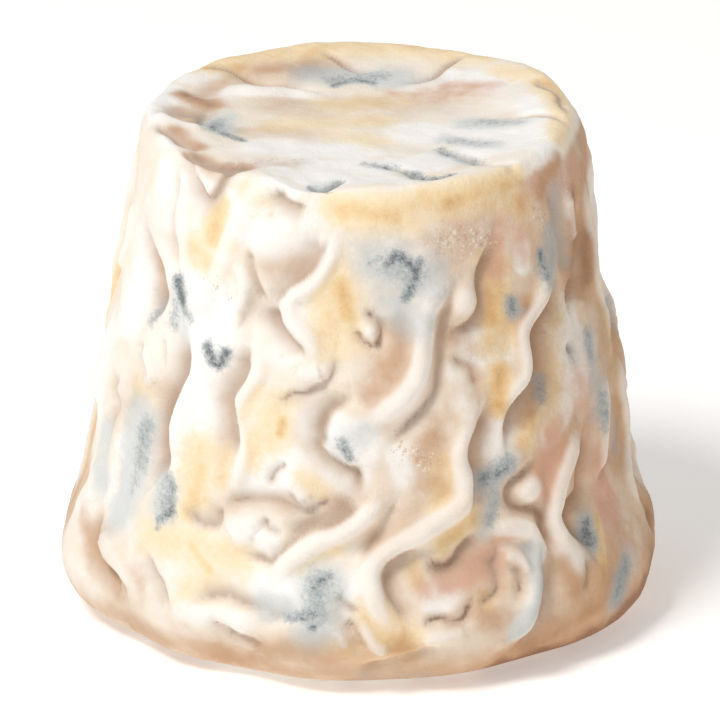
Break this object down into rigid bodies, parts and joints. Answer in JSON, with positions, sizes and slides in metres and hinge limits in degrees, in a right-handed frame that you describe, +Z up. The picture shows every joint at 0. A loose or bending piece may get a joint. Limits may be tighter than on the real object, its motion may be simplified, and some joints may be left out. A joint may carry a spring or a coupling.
{
  "type": "small ripened goat's cheese",
  "caption": "Small blunt cone of ripened goat's cheese with a wrinkled, mould-flecked rind, a dished top and a flat underside to stand on.",
  "frame": {"origin": "middle of the footprint's box, on the surface the cheese stands on", "axes": "+Z up through the cheese, -Y towards the shown side, +X to the viewer's right"},
  "size_m": [0.067, 0.0668, 0.0574],
  "materials": {
    "rind": "matte"
  },
  "bodies": {
    "root": {"cheese": "rind"}
  },
  "joints": []
}
